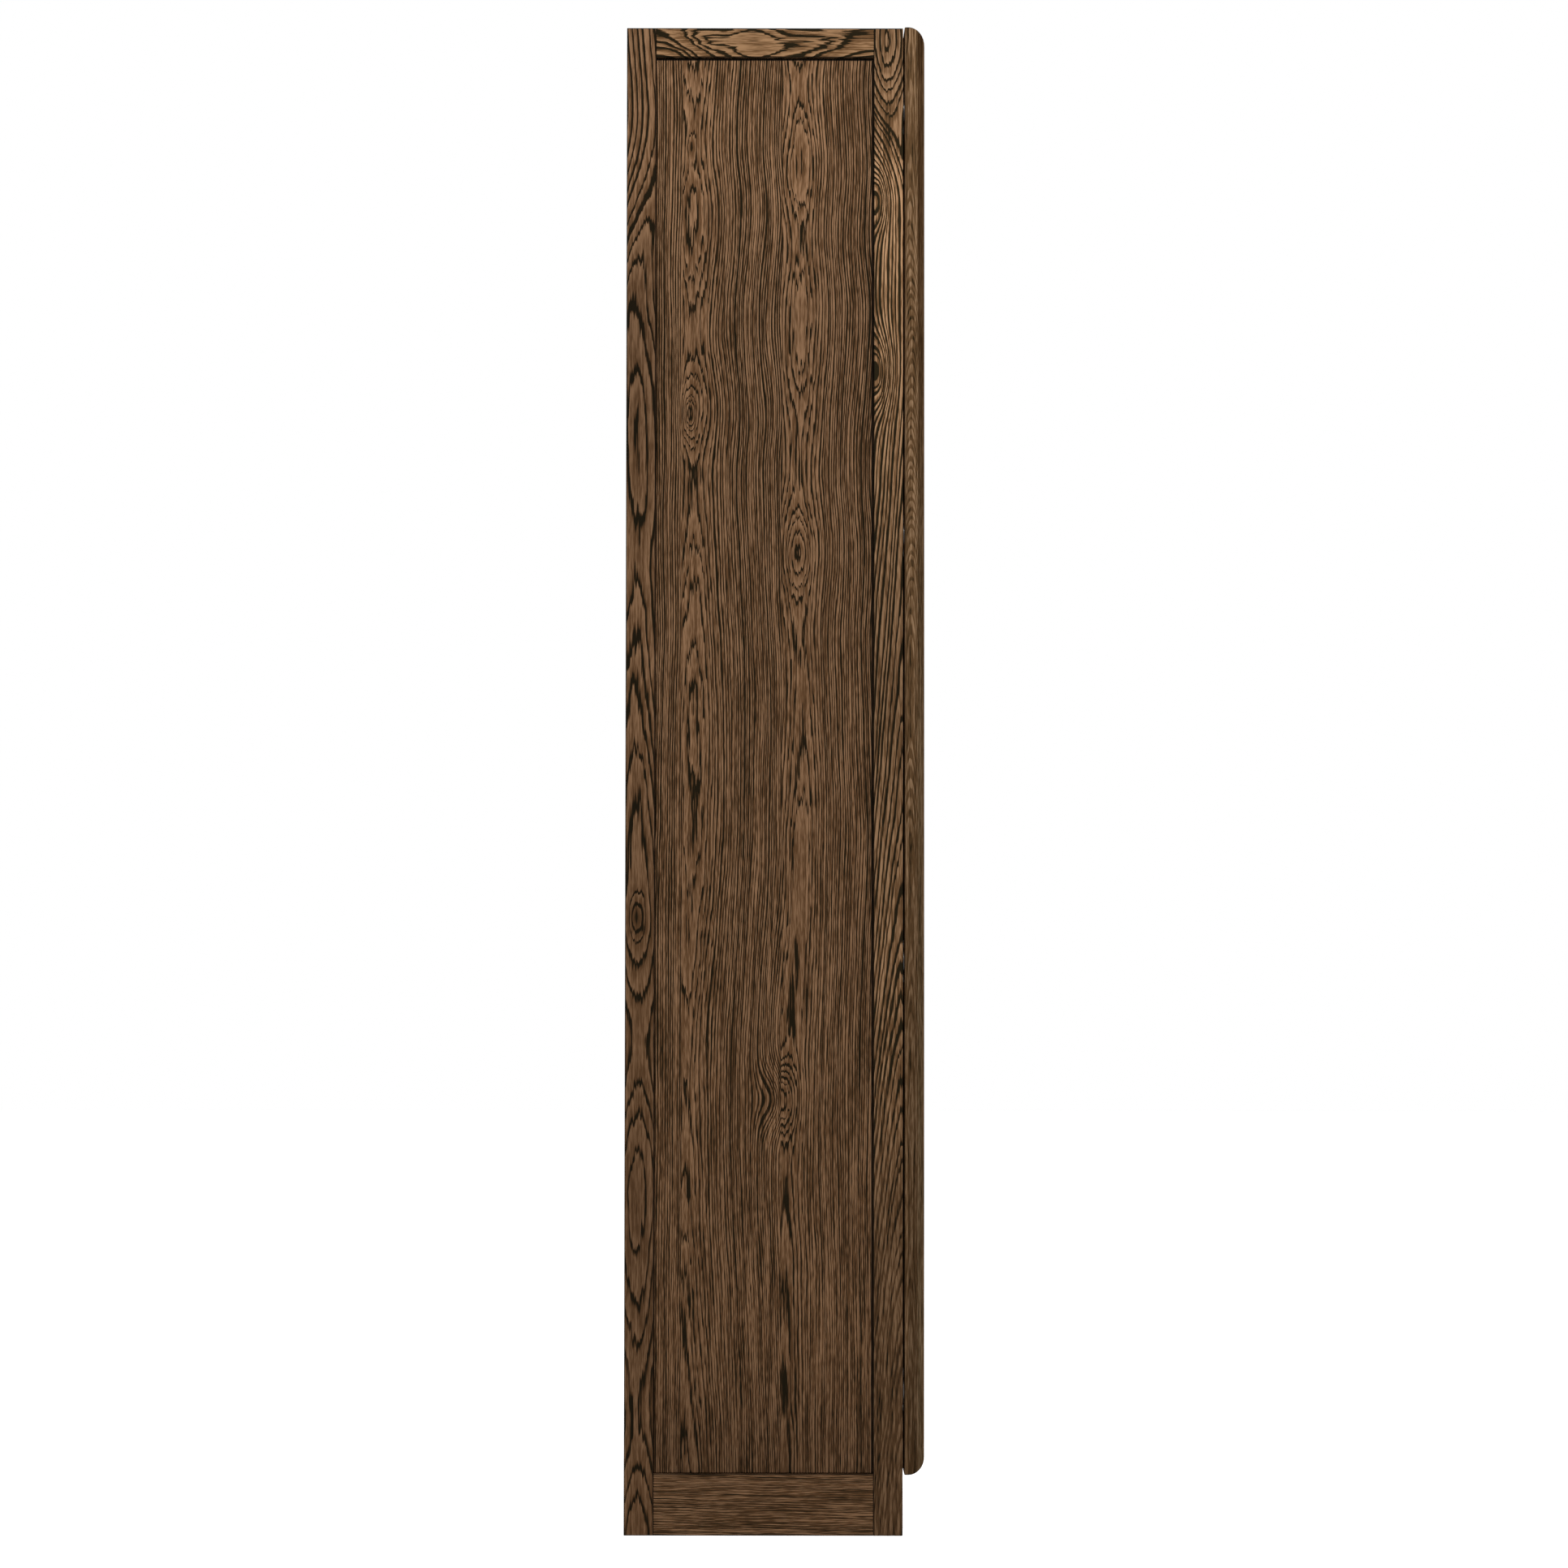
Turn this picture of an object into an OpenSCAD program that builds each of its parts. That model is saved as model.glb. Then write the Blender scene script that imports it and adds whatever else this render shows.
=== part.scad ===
// Pantry cabinet: a tall oak case with frame-and-panel sides and a pair of overlay doors.
// Millimetres. +Z is up and the doors face -Y. The origin is on the floor, in the middle of
// the width and of the whole depth. Every left-hand piece is mirrored for the right.

/* [Case] */
// Width across the two side frames
cab_w = 900; // [760:10:1100]
// Height of the case
cab_h = 2000; // [1900:10:2150]
// Depth of the case without the doors
case_d = 368; // [330:2:450]
// Thickness of the top, the bottom and the fixed shelf
board_t = 22; // [18:1:25]
// Height of the underside of the fixed shelf
fixed_z = 1000; // [950:10:1080]

/* [Side frames] */
// Thickness of the stiles and rails
frame_t = 22; // [20:1:24]
// Width of the stiles
stile_w = 39; // [36:1:50]
// Height of the top rail
top_rail_h = 39; // [34:1:60]
// Height of the bottom rail, which is also the height of the plinth
plinth_h = 81; // [70:1:100]
// Thickness of the side panel in its middle
panel_t = 12; // [11:0.5:13]
// How far the face of the panel lies behind the face of the frame
panel_recess = 4; // [3.5:0.5:5]

/* [Doors] */
// Thickness of a door
door_t = 27; // [26:1:32]
// Radius of the rounded front edges of a door
door_r = 22; // [14:1:22]
// Radius of the eased back edges at the sides of a door
door_back_r = 3; // [2.5:0.5:3]
// Radius of the eased back edges at the top and the bottom of a door
door_end_r = 1; // [0.5:0.5:3]
// Gap between the back of a door and the case
door_gap = 2; // [2:0.25:3]
// Gap between the two doors
meeting_gap = 3; // [2:0.5:5]
// How far a door stands above the top of the case
door_over = 1.5; // [0:0.5:2]
// Height of the middle of the finger pulls
pull_z = 1080; // [950:10:1200]
// How far a finger pull is cut into the edge of a door
pull_depth = 22; // [18:1:26]

/* [Shelves] */
// Thickness of an adjustable shelf
shelf_t = 20; // [18:1:25]
// How far the front of an adjustable shelf lies behind the front of the case
shelf_setback = 22; // [22:1:40]
// Pitch of the shelf holes
hole_pitch = 32; // [25:1:32]

/* [Hinges] */
// Number of hinges on each door
hinge_n = 4; // [3:1:5]
// Distance of the first and last hinge from the ends of a door
hinge_end = 110; // [90:5:140]

/* [Hidden] */

$fn = 48;
eps = 0.01;   // overlap of a cutter past the face it leaves
slip = 0.05;  // radial running and drilling clearance

oak = "#5b4230";
oak_light = "#6a5038";
steel = "#b9bcc0";
dark_steel = "#6e7175";

// the planes that everything hangs on
side_x = -cab_w / 2;                                // outer face of the left side frame
in_x = side_x + frame_t;                            // inner face of the left stiles
front_y = -(case_d + door_gap + door_t) / 2 + door_gap + door_t;  // front of the case
back_y = front_y + case_d;                          // back of the case
clear_w = cab_w - 2 * frame_t;                      // clear width between the stiles
top_z = cab_h - board_t;                            // underside of the top
floor_z = plinth_h + board_t;                       // upper face of the bottom

// groove, tongue and rebate of the side frames
groove_d = 8;
groove_w = 8;
groove_x = (frame_t - groove_w) / 2;                // from the outer face to the groove
tongue = groove_d - 1.5;                            // leaves room for the panel to swell
shadow_gap = 1;                                     // between the panel's middle and the frame
rebate_w = 10;
rebate_d = 8;
back_t = 6;
back_in = rebate_d - back_t;                        // the back board lies this far in

// adjustable shelves: two below the fixed shelf and two above it, on the hole pitch
function third(z0, z1, k) = z0 + round(k * (z1 - z0) / 3 / hole_pitch) * hole_pitch;
shelf_z = [third(floor_z, fixed_z, 1), third(floor_z, fixed_z, 2),
           third(fixed_z + board_t, top_z, 1) + 16, third(fixed_z + board_t, top_z, 2) + 16];
holes_each_way = 2;                                 // spare holes above and below each shelf
hole_r = 2.5;
hole_depth = 11;
hole_in = 12;                                       // hole row from the inner edge of a stile
collar_r = 3.8;                                     // collar of a shelf support
collar_t = 1;
lug = [12, 7, 2];                                   // flat lug of a shelf support
shelf_d = case_d - shelf_setback - rebate_d - 1;

// doors
door_z0 = plinth_h - 1;
door_h = cab_h + door_over - door_z0;
door_w = (cab_w - meeting_gap) / 2;
door_y0 = front_y - door_gap - door_t;              // front face of the doors
pull_r = 100;                                       // radius of the finger pull seen from the front
pull_edge_r = 12;                                   // its rounded front edge

// hinge: a one-joint cup hinge, its pin inside the cup, its arm fixed in the case
cup_r = 17.5;
cup_wall = 0.8;
cup_depth = 14;
cup_x = 21.6;                                       // centre of the cup from the side plane
flange_t = 1;
pin_x = 8;                                          // pin from the side plane
pin_y = door_gap + 10.4;                            // pin in front of the case
pin_r = 1.5;
pin_l = 16.6;
knuckle_r = 2.2;
arm_w = 8;
arm_t = 3;
neck_r = 6;                                         // middle radius of the bend of the neck
neck_x = frame_t + 5.5;                             // middle of the neck where it enters the case
plate_t = 2;
plate_y = 2;                                        // plate from the front of the case
plate_d = 18;
plate_h = 48;
plate_screw_z = 16;
arm_screw_y = plate_y + 12;
function hinge_z(k) = door_z0 + hinge_end + k * (door_h - 2 * hinge_end) / (hinge_n - 1);

// plinth, a little behind the front of the stiles
plinth_t = 20;
plinth_in = 2;
bearer_t = 18;

// fixings
cam_r = 7.5;
cam_h = 14;
cam_in = 34;                                        // cam from the end of the board
cam_y = [front_y + 20, back_y - 27];
bolt_r = 3.5;
bolt_neck_r = 2;
bolt_in = 12;                                       // how far a bolt enters a stile
bolt_head = 4;
dowel_r = 4;
dowel_l = 30;
dowel_in = 12;                                      // how far a dowel enters a stile or rail
block = 48;                                         // legs of a corner block
block_edge = 8;
block_h = 60;
block_screw = [21, 1.95, 3.6, 2];                   // length, radius, head radius, head height
block_seat = 9;                                     // wood under the head of a block screw
back_screw_l = 15;
catch_w = 50;
catch_d = 14;
catch_h = 12;
catch_x = 14;                                       // magnet from the middle of the cabinet
strike_t = 1.2;
strike = 16;
rail_h = 80;                                        // height of the hanging rail
rail_t = 18;
wall_hole_r = 3.5;
wall_hole_inset = 90;                               // wall holes from the ends of the rail
wall_hole_x = clear_w / 2 - wall_hole_inset;

module mirrored() { mirror([1, 0, 0]) children(); }
module both() { children(); mirrored() children(); }

// a box by its two corners
module box(a, b) { translate(a) cube(b - a); }

// a pan-head screw along +Z, the underside of its head at 0
module pan_screw(len, r = 1.5, head_r = 3, head_h = 1.5) {
    difference() {
        union() {
            translate([0, 0, -len]) cylinder(r = r, h = len + eps);
            cylinder(r = head_r, h = head_h);
        }
        for (a = [0, 90]) rotate(a) translate([-head_r * 0.6, -0.4, head_h * 0.4])
            cube([head_r * 1.2, 0.8, head_h]);
    }
}

// ---- side frames -------------------------------------------------------------------------

// the row of shelf holes in a stile, at distance y
module shelf_holes(y) {
    for (z = shelf_z, k = [-holes_each_way : holes_each_way])
        translate([in_x + eps, y, z - hole_r - lug[2] + k * hole_pitch])
            rotate([0, -90, 0]) cylinder(r = hole_r + slip, h = hole_depth);
}
// holes for the bolts of the top, the bottom and the fixed shelf, in a stile
module bolt_holes(y) {
    for (z = [plinth_h + board_t / 2, fixed_z + board_t / 2, top_z + board_t / 2])
        translate([in_x + eps, y, z]) rotate([0, -90, 0]) cylinder(r = bolt_r + slip, h = bolt_in + 1);
}
module rear_stile() {
    difference() {
        box([side_x, back_y - stile_w, 0], [in_x, back_y, cab_h]);
        box([side_x + groove_x, back_y - stile_w - eps, -eps],
            [side_x + groove_x + groove_w, back_y - stile_w + groove_d, cab_h + eps]);
        box([in_x - rebate_w, back_y - rebate_d, -eps], [in_x + eps, back_y + eps, cab_h + eps]);
        shelf_holes(back_y - stile_w + hole_in);
        bolt_holes(cam_y[1]);
        rail_dowel_holes();
        for (side = [-1, 1]) back_screw_holes(side);
    }
}
module front_stile() {
    difference() {
        box([side_x, front_y, 0], [in_x, front_y + stile_w, cab_h]);
        box([side_x + groove_x, front_y + stile_w - groove_d, -eps],
            [side_x + groove_x + groove_w, front_y + stile_w + eps, cab_h + eps]);
        shelf_holes(front_y + stile_w - hole_in);
        bolt_holes(cam_y[0]);
        for (k = [0 : hinge_n - 1], s = [-1, 1])
            translate([in_x + eps, front_y + plate_y + plate_d / 2, hinge_z(k) + s * plate_screw_z])
                rotate([0, -90, 0]) cylinder(r = 1.75 + slip, h = 14.5);
        for (k = [0 : hinge_n - 1])
            translate([in_x + eps, front_y + arm_screw_y, hinge_z(k)])
                rotate([0, -90, 0]) cylinder(r = 2 + slip, h = 10.5);
    }
}
// a rail with a stub tenon on each end, in the grooves of the stiles
module rail(z0, z1) {
    box([side_x, front_y + stile_w, z0], [in_x, back_y - stile_w, z1]);
    box([side_x + groove_x, front_y + stile_w - tongue, z0],
        [side_x + groove_x + groove_w, back_y - stile_w + tongue, z1]);
}
module top_rail() {
    difference() {
        rail(cab_h - top_rail_h, cab_h);
        box([side_x + groove_x, front_y, cab_h - top_rail_h - eps],
            [side_x + groove_x + groove_w, back_y, cab_h - top_rail_h + groove_d]);
        for (y = dowel_y) translate([in_x + eps, y, top_z + board_t / 2])
            rotate([0, -90, 0]) cylinder(r = dowel_r + slip, h = dowel_in + 0.5);
    }
}
module bottom_rail() {
    difference() {
        rail(0, plinth_h);
        box([side_x + groove_x, front_y, plinth_h - groove_d],
            [side_x + groove_x + groove_w, back_y, plinth_h + eps]);
        at_corners() block_screw_holes();
    }
}
// the panel: a thick middle inside the frame and a thinner tongue in the grooves all round
module side_panel() {
    z0 = plinth_h;
    z1 = cab_h - top_rail_h;
    box([side_x + panel_recess, front_y + stile_w + shadow_gap, z0 + shadow_gap],
        [side_x + panel_recess + panel_t, back_y - stile_w - shadow_gap, z1 - shadow_gap]);
    box([side_x + groove_x, front_y + stile_w - tongue, z0 - tongue],
        [side_x + groove_x + groove_w, back_y - stile_w + tongue, z1 + tongue]);
}

// ---- boards of the case -----------------------------------------------------------------

dowel_inset = 110;                                  // dowels of the top from its front and back
dowel_y = [front_y + dowel_inset, back_y - dowel_inset];

// a board between the side frames, with cam and bolt bores at its ends
module case_board(z, y0 = front_y) {
    difference() {
        box([in_x, y0, z], [-in_x, back_y - rebate_d, z + board_t]);
        both() for (y = cam_y) {
            translate([in_x + cam_in, y, z - eps]) cylinder(r = cam_r + slip, h = cam_h);
            translate([in_x - eps, y, z + board_t / 2]) rotate([0, 90, 0])
                cylinder(r = bolt_r + slip, h = cam_in);
        }
        for (side = [-1, 1]) back_screw_holes(side);
    }
}
module top_board() {
    difference() {
        case_board(top_z);
        both() for (y = dowel_y) translate([in_x - eps, y, top_z + board_t / 2])
            rotate([0, 90, 0]) cylinder(r = dowel_r + slip, h = dowel_l - dowel_in + 0.5);
    }
}
module bottom_board() { case_board(plinth_h); }
module fixed_shelf() { case_board(fixed_z, front_y + 2); }
module shelf(k) {
    box([in_x + 1, front_y + shelf_setback, shelf_z[k]],
        [-in_x - 1, front_y + shelf_setback + shelf_d, shelf_z[k] + shelf_t]);
}
// a shelf support: a pin in its hole, a collar on the stile and a flat lug under the shelf
module shelf_supports() {
    both() for (z = shelf_z, y = [front_y + stile_w - hole_in, back_y - stile_w + hole_in])
        translate([in_x, y, z - hole_r - lug[2]]) {
            translate([-hole_depth + 1, 0, 0]) rotate([0, 90, 0])
                cylinder(r = hole_r, h = hole_depth - 1 + eps);
            rotate([0, 90, 0]) cylinder(r = collar_r, h = collar_t);
            translate([0, -lug[1] / 2, hole_r]) cube(lug);
            rotate([0, 90, 0]) cylinder(r = hole_r + 0.5, h = 0.75 * lug[0]);
        }
}
module back_board(z0, z1) {
    box([in_x - rebate_w + 0.5, back_y - rebate_d, z0],
        [-in_x + rebate_w - 0.5, back_y - back_in, z1]);
}
back_split = fixed_z + board_t / 2;
back_below = 30;                                    // lower back below the bottom's underside
back_z0 = plinth_h - back_below;
module lower_back() {
    difference() {
        back_board(back_z0, back_split - 0.5);
        back_screw_holes(-1);
    }
}
module upper_back() {
    difference() {
        back_board(back_split + 0.5, cab_h);
        back_screw_holes(1);
        wall_holes();
    }
}
// where the back is screwed on: along the boards and up the rear stiles
back_cols = [-0.36, -0.12, 0.12, 0.36];
back_rows = [-5.5, 5.5];
module at_back_screws(side) {
    edge_x = in_x - rebate_w / 2;
    y = back_y - back_in;
    row_z = side < 0 ? [plinth_h + board_t / 2, back_split - 5.5] : [back_split + 5.5, cab_h - 11];
    for (z = row_z, c = back_cols) translate([c * clear_w, y, z]) rotate([-90, 0, 0]) children();
    z0 = side < 0 ? floor_z : fixed_z + board_t;
    z1 = side < 0 ? fixed_z : top_z;
    both() for (k = [1 : 3]) translate([edge_x, y, z0 + k * (z1 - z0) / 4])
        rotate([-90, 0, 0]) children();
}
module back_screw_holes(side) {
    at_back_screws(side) translate([0, 0, -back_screw_l - 0.5])
        cylinder(r = 1.5 + slip, h = back_screw_l + 1);
}
module back_screws() {
    for (side = [-1, 1]) at_back_screws(side) pan_screw(back_screw_l);
}
module wall_holes() {
    both() translate([-wall_hole_x, back_y + 1, top_z - rail_h / 2]) rotate([90, 0, 0])
        cylinder(r = wall_hole_r, h = rebate_d + rail_t + 2);
}
module hanging_rail() {
    difference() {
        box([in_x, back_y - rebate_d - rail_t, top_z - rail_h], [-in_x, back_y - rebate_d, top_z]);
        wall_holes();
        both() rail_dowel_holes();
    }
}
// the hanging rail is dowelled to the rear stiles, with two dowels at each end
module at_rail_dowels() {
    for (z = [top_z - rail_h * 0.28, top_z - rail_h * 0.72])
        translate([in_x - dowel_in, back_y - rebate_d - rail_t / 2, z]) rotate([0, 90, 0]) children();
}
module rail_dowel_holes() {
    at_rail_dowels() translate([0, 0, -0.5]) cylinder(r = dowel_r + slip, h = dowel_l + 1);
}
module rail_dowels() { both() at_rail_dowels() cylinder(r = dowel_r, h = dowel_l); }

// ---- plinth -----------------------------------------------------------------------------

module plinth_front() {
    box([in_x, front_y + plinth_in, 0], [-in_x, front_y + plinth_in + plinth_t, plinth_h]);
}
module plinth_rear() {
    box([in_x, back_y - rebate_d - plinth_t, 0], [-in_x, back_y - rebate_d, plinth_h]);
}
module plinth_bearer() {
    box([-bearer_t / 2, front_y + plinth_in + plinth_t, 0],
        [bearer_t / 2, back_y - rebate_d - plinth_t, plinth_h]);
}
// glue blocks in the four corners under the bottom, each screwed to its bottom rail
module at_corners() {
    both() {
        translate([in_x, front_y + plinth_in + plinth_t, 0]) children();
        translate([in_x, back_y - rebate_d - plinth_t, 0]) mirror([0, 1, 0]) children();
    }
}
module corner_blocks() {
    at_corners() difference() {
        translate([0, 0, plinth_h - block_h]) linear_extrude(block_h)
            polygon([[0, 0], [block, 0], [block, block_edge], [block_edge, block], [0, block]]);
        block_screw_holes();
        at_block_screws() cylinder(r = block_screw[2] + 0.4, h = block);
    }
}
module at_block_screws() {
    for (k = [-0.3, 0.3]) translate([block_seat, 0.72 * block, plinth_h - block_h * (0.5 - k)])
        rotate([0, 90, 0]) children();
}
module block_screw_holes() {
    at_block_screws() translate([0, 0, -block_screw[0] - 0.5])
        cylinder(r = block_screw[1] + slip, h = block_screw[0] + 1);
}
module block_screws() {
    at_corners() at_block_screws()
        pan_screw(block_screw[0], block_screw[1], block_screw[2], block_screw[3]);
}

// ---- knock-down fittings ----------------------------------------------------------------

module at_cams() {
    both() for (z = [plinth_h, fixed_z, top_z], y = cam_y) translate([in_x + cam_in, y, z]) children();
}
module cam_locks() {
    at_cams() difference() {
        translate([0, 0, 0.2]) cylinder(r = cam_r, h = cam_h - 0.2 - eps);
        translate([0, 0, board_t / 2]) rotate([0, -90, 0]) cylinder(r = bolt_r + 0.2, h = cam_r + 1);
        for (a = [45, 135]) rotate(a) translate([-4, -0.6, -1]) cube([8, 1.2, 3]);
    }
}
module cam_bolts() {
    l = bolt_in + cam_in;                           // from its end in the stile to the cam's middle
    at_cams() translate([-l, 0, board_t / 2]) rotate([0, 90, 0]) {
        cylinder(r = bolt_r, h = l - cam_r - 1);
        cylinder(r = bolt_neck_r, h = l - 1.5);
        translate([0, 0, l - bolt_head]) cylinder(r = bolt_r, h = bolt_head);
    }
}
module top_dowels() {
    both() for (y = dowel_y) translate([in_x - dowel_in, y, top_z + board_t / 2])
        rotate([0, 90, 0]) cylinder(r = dowel_r, h = dowel_l);
}

// ---- doors ------------------------------------------------------------------------------

// section of a door across its thickness: rounded in front (y = 0), eased by b behind
module door_section(len, b) {
    r = door_r;
    translate([r, 0]) square([len - 2 * r, door_t]);
    translate([0, r]) square([len, door_t - r - b]);
    translate([b, r]) square([len - 2 * b, door_t - r]);
    intersection() {
        for (x = [r, len - r]) translate([x, r]) circle(r = r);
        square([len, r]);
    }
    for (x = [b, len - b]) translate([x, door_t - b]) circle(r = b);
}
module door() {
    difference() {
        intersection() {
            translate([side_x, door_y0, door_z0 - 1]) linear_extrude(door_h + 2)
                door_section(door_w, door_back_r);
            translate([side_x - 1, door_y0, door_z0]) rotate([90, 0, 90])
                linear_extrude(door_w + 2) mirror([1, -1, 0]) door_section(door_h, door_end_r);
        }
        // the finger pull in the meeting edge
        translate([side_x + door_w + pull_r - pull_depth, door_y0 + door_t + 1, pull_z])
            rotate([90, 0, 0]) rotate_extrude($fn = 96) finger_pull_section();
        // bores for the hinge cups and their screws
        for (k = [0 : hinge_n - 1]) translate([side_x, front_y - door_gap, hinge_z(k)]) {
            translate([cup_x, eps, 0]) rotate([90, 0, 0])
                cylinder(r = cup_r + slip, h = cup_depth + eps);
            at_cup_screws() translate([0, 0, -12]) cylinder(r = 1.75 + slip, h = 13);
        }
        for (z = catch_z) translate([-catch_x, front_y - door_gap, z]) rotate([-90, 0, 0])
            translate([0, 0, -11]) cylinder(r = 1.5 + slip, h = 12);
    }
}
// what the cutter of a finger pull takes away, from its middle outwards
module finger_pull_section() {
    square([pull_r, door_t + 2]);
    difference() {
        translate([0, door_t + 1 - pull_edge_r])
            square([pull_r + pull_edge_r, pull_edge_r + 1]);
        translate([pull_r + pull_edge_r, door_t + 1 - pull_edge_r]) circle(r = pull_edge_r);
    }
}

// ---- hinges -----------------------------------------------------------------------------

module at_hinges() {
    for (k = [0 : hinge_n - 1]) translate([side_x, front_y, hinge_z(k)]) children();
}
// the two screws of a cup, on the wings of its flange
wing_x = cup_x + 9.5;
wing_z = 22.5;
module at_cup_screws() {
    for (s = [-1, 1]) translate([wing_x, 0, s * wing_z]) rotate([-90, 0, 0]) children();
}
module hinge_cups() {
    at_hinges() translate([0, -door_gap, 0]) difference() {
        union() {
            difference() {
                translate([cup_x, flange_t, 0]) rotate([90, 0, 0])
                    cylinder(r = cup_r, h = cup_depth + flange_t - 0.1);
                translate([cup_x, flange_t + 1, 0]) rotate([90, 0, 0])
                    cylinder(r = cup_r - cup_wall, h = cup_depth + 2 - 0.1 - cup_wall);
            }
            // lugs that hold the pin, one on each side of the arm
            intersection() {
                translate([cup_x, 0, 0]) rotate([90, 0, 0]) cylinder(r = cup_r, h = cup_depth - 0.2);
                for (s = [-1, 1]) translate([0, 0, s * 7.2 - 1.8])
                    box([cup_x - cup_r - 1, -cup_depth, 0], [pin_x + 4.5, -6.5, 3.6]);
            }
            // wings for the screws
            difference() {
                box([wing_x - 6, 0, -wing_z - 5.5], [wing_x + 6, flange_t, wing_z + 5.5]);
                translate([cup_x, flange_t + 1, 0]) rotate([90, 0, 0])
                    cylinder(r = cup_r - cup_wall, h = 4);
            }
        }
        at_cup_screws() translate([0, 0, -1]) cylinder(r = 1.75 + slip, h = 3);
        translate([pin_x, door_gap - pin_y, -10]) cylinder(r = pin_r, h = 20);
    }
}
module hinge_pins() {
    at_hinges() translate([pin_x, -pin_y, -pin_l / 2]) cylinder(r = pin_r, h = pin_l);
}
module cup_screws() {
    at_hinges() translate([0, -door_gap + flange_t, 0]) at_cup_screws()
        pan_screw(12, 1.7, 3.2, 0.7);
}
// side view of an arm: knuckle, neck round the front edge of the stile, and foot
module arm_profile() {
    h = arm_t / 2;
    difference() {
        union() {
            translate([pin_x, -pin_y]) circle(r = knuckle_r);
            translate([pin_x, -pin_y - h]) square([neck_x - neck_r - pin_x, arm_t]);
            translate([neck_x - h, -pin_y + neck_r]) square([arm_t, pin_y - neck_r + plate_y + 1]);
            translate([neck_x - neck_r, -pin_y + neck_r]) intersection() {
                difference() {
                    circle(r = neck_r + h);
                    circle(r = neck_r - h);
                }
                translate([0, -neck_r - h]) square([neck_r + h, neck_r + h]);
            }
            translate([frame_t + plate_t, plate_y]) square([5, plate_d]);
        }
        translate([pin_x, -pin_y]) circle(r = pin_r + slip);
    }
}
module hinge_arms() {
    both() at_hinges() difference() {
        translate([0, 0, -arm_w / 2]) linear_extrude(arm_w) arm_profile();
        translate([frame_t, arm_screw_y, 0]) rotate([0, 90, 0]) cylinder(r = 2 + slip, h = 10);
    }
}
module hinge_plates() {
    both() at_hinges() difference() {
        box([frame_t, plate_y, -plate_h / 2], [frame_t + plate_t, plate_y + plate_d, plate_h / 2]);
        at_plate_screws() translate([0, 0, -5]) cylinder(r = 1.75 + slip, h = 10);
        translate([frame_t - 1, arm_screw_y, 0]) rotate([0, 90, 0]) cylinder(r = 2 + slip, h = 5);
    }
}
module at_plate_screws() {
    for (s = [-1, 1]) translate([frame_t + plate_t, plate_y + plate_d / 2, s * plate_screw_z])
        rotate([0, 90, 0]) children();
}
module plate_screws() { both() at_hinges() at_plate_screws() pan_screw(15, 1.7, 3.4, 1.8); }
module arm_screws() {
    both() at_hinges() translate([frame_t + plate_t + 5, arm_screw_y, 0]) rotate([0, 90, 0])
        pan_screw(16, 1.95, 3.6, 2);
}

// ---- catches and bumpers ----------------------------------------------------------------

catch_z = [top_z - catch_h / 2, floor_z + catch_h / 2];
magnet = [15, 5, 8];
module at_catches() { for (z = catch_z) translate([0, front_y + 0.5, z]) children(); }
module catch_housings() {
    at_catches() difference() {
        box([-catch_w / 2, 0, -catch_h / 2], [catch_w / 2, catch_d, catch_h / 2]);
        for (s = [-1, 1]) translate([s * catch_x - magnet[0] / 2, -1, -magnet[2] / 2])
            cube(magnet + [0, 1, 0]);
    }
}
module catch_magnets() {
    at_catches() for (s = [-1, 1]) translate([s * catch_x - magnet[0] / 2, -0.2, -magnet[2] / 2])
        cube(magnet + [0, 0.2, 0]);
}
module strike_plates() {
    for (z = catch_z) translate([-catch_x, front_y - door_gap, z]) difference() {
        box([-strike / 2, 0, -strike / 2 + 3], [strike / 2, strike_t, strike / 2 - 3]);
        rotate([-90, 0, 0]) translate([0, 0, -1]) cylinder(r = 1.5 + slip, h = 3);
        rotate([-90, 0, 0]) translate([0, 0, strike_t - 0.9]) cylinder(r = 2.8, h = 1);
    }
}
module strike_screws() {
    for (z = catch_z) translate([-catch_x, front_y - door_gap + strike_t, z]) rotate([-90, 0, 0])
        translate([0, 0, -0.9]) pan_screw(10, 1.45, 2.6, 0.8);
}
module door_bumpers() {
    both() for (z = [top_z + board_t / 2, plinth_h + board_t / 2], x = [0.25, 0.75])
        translate([in_x + x * clear_w / 2, front_y, z]) rotate([90, 0, 0])
            cylinder(r = 4, h = door_gap - 0.2);
}

// ---- assembly ---------------------------------------------------------------------------

color(oak) rear_stile();  // left_rear_stile
color(oak_light) front_stile();  // left_front_stile
color(oak_light) top_rail();  // left_top_rail
color(oak) bottom_rail();  // left_bottom_rail
color(oak) side_panel();  // left_side_panel
color(oak) mirrored() rear_stile();  // right_rear_stile
color(oak_light) mirrored() front_stile();  // right_front_stile
color(oak_light) mirrored() top_rail();  // right_top_rail
color(oak) mirrored() bottom_rail();  // right_bottom_rail
color(oak) mirrored() side_panel();  // right_side_panel
color(oak) top_board();
color(oak) bottom_board();
color(oak) fixed_shelf();
color(oak_light) shelf(0);  // shelf_1
color(oak_light) shelf(1);  // shelf_2
color(oak_light) shelf(2);  // shelf_3
color(oak_light) shelf(3);  // shelf_4
color(steel) shelf_supports();
color(oak) lower_back();
color(oak) upper_back();
color(oak) hanging_rail();
color(oak) plinth_front();
color(oak) plinth_rear();
color(oak) plinth_bearer();
color(oak_light) corner_blocks();
color(steel) block_screws();
color(dark_steel) cam_locks();
color(steel) cam_bolts();
color("#c9a878") top_dowels();
color(dark_steel) back_screws();
color("#c9a878") rail_dowels();
color(oak_light) door();  // left_door
color(oak_light) mirrored() door();  // right_door
color(steel) hinge_cups();  // left_hinge_cups
color(steel) mirrored() hinge_cups();  // right_hinge_cups
color(dark_steel) hinge_pins();  // left_hinge_pins
color(dark_steel) mirrored() hinge_pins();  // right_hinge_pins
color(steel) cup_screws();  // left_cup_screws
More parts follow.
